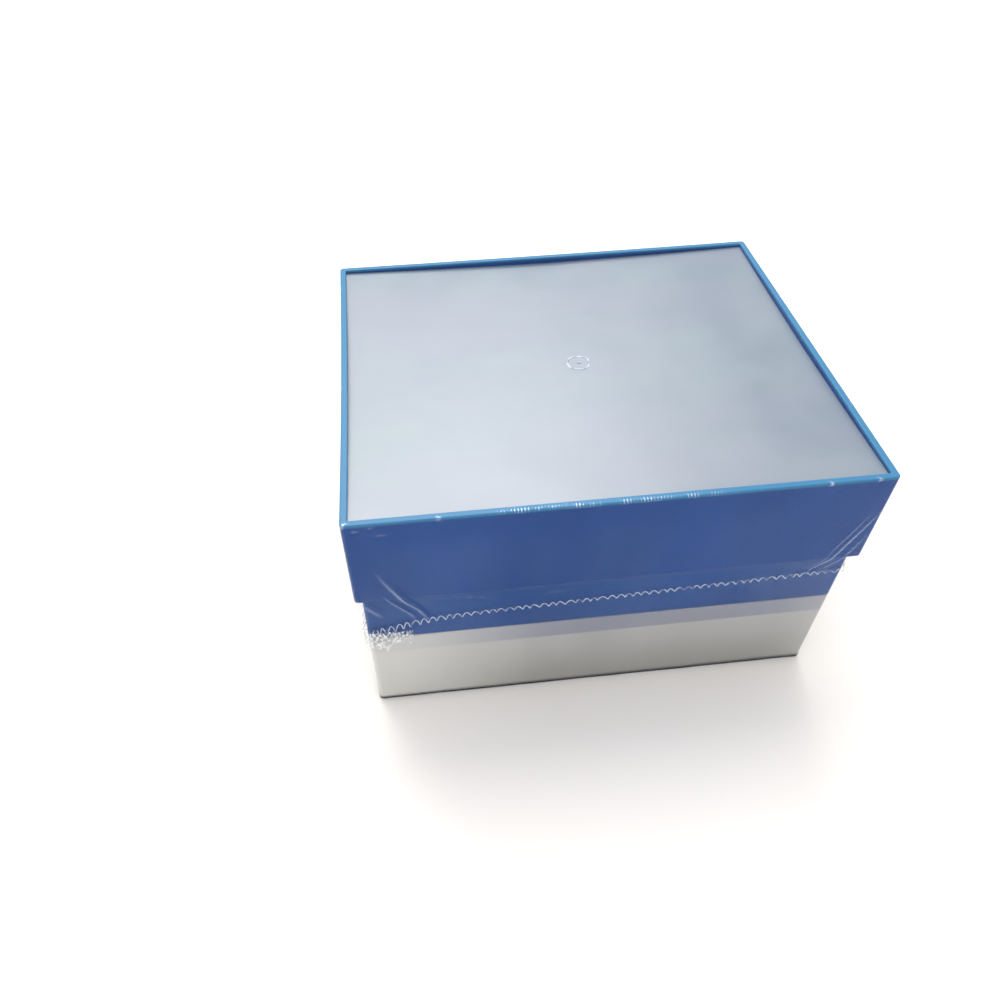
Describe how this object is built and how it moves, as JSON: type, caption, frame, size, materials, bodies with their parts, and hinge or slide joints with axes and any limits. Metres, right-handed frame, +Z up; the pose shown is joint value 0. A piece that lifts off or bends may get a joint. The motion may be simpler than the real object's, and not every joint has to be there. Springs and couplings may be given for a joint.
{
  "type": "cryogenic storage box",
  "caption": "Rectangular plastic freezer box for sample tubes: shallow translucent tray, drop-in rack frame with a lift-out divider grid, deep slip-over lid, in clear shrink film.",
  "frame": {"origin": "middle of the underside of the film, on the surface that the box stands on", "axes": "+X along the long side, -Y out of the front, +Z up"},
  "size_m": [0.134, 0.1136, 0.0798],
  "materials": {
    "lid_plastic": "satin moulded blue polypropylene, frosted on the top panel",
    "rack_plastic": "satin moulded blue polypropylene",
    "tray_plastic": "translucent natural polypropylene",
    "divider_plastic": "matt white polypropylene sheet",
    "shrink_film": "clear glossy shrink film with a puckered white seal"
  },
  "bodies": {
    "base": {"base_tray": "tray_plastic", "film_lower_sleeve": "shrink_film", "film_bottom_sheet": "shrink_film"},
    "rack": {"rack_frame": "rack_plastic"},
    "long_dividers": {"divider_long_1": "divider_plastic", "divider_long_2": "divider_plastic", "divider_long_3": "divider_plastic", "divider_long_4": "divider_plastic"},
    "cross_dividers": {"divider_cross_1": "divider_plastic", "divider_cross_2": "divider_plastic", "divider_cross_3": "divider_plastic", "divider_cross_4": "divider_plastic", "divider_cross_5": "divider_plastic"},
    "lid": {"lid": "lid_plastic", "film_top_hood": "shrink_film", "film_seal_bead": "shrink_film"}
  },
  "joints": [
    {"name": "rack_lift", "type": "slide", "parent": "base", "child": "rack", "axis": [0, 0, 1], "range_m": [0, 0.035]},
    {"name": "long_dividers_lift", "type": "slide", "parent": "rack", "child": "long_dividers", "axis": [0, 0, 1], "range_m": [0, 0.04]},
    {"name": "cross_dividers_lift", "type": "slide", "parent": "long_dividers", "child": "cross_dividers", "axis": [0, 0, 1], "range_m": [0, 0.04]},
    {"name": "lid_lift", "type": "slide", "parent": "cross_dividers", "child": "lid", "axis": [0, 0, 1], "range_m": [0, 0.06]}
  ]
}
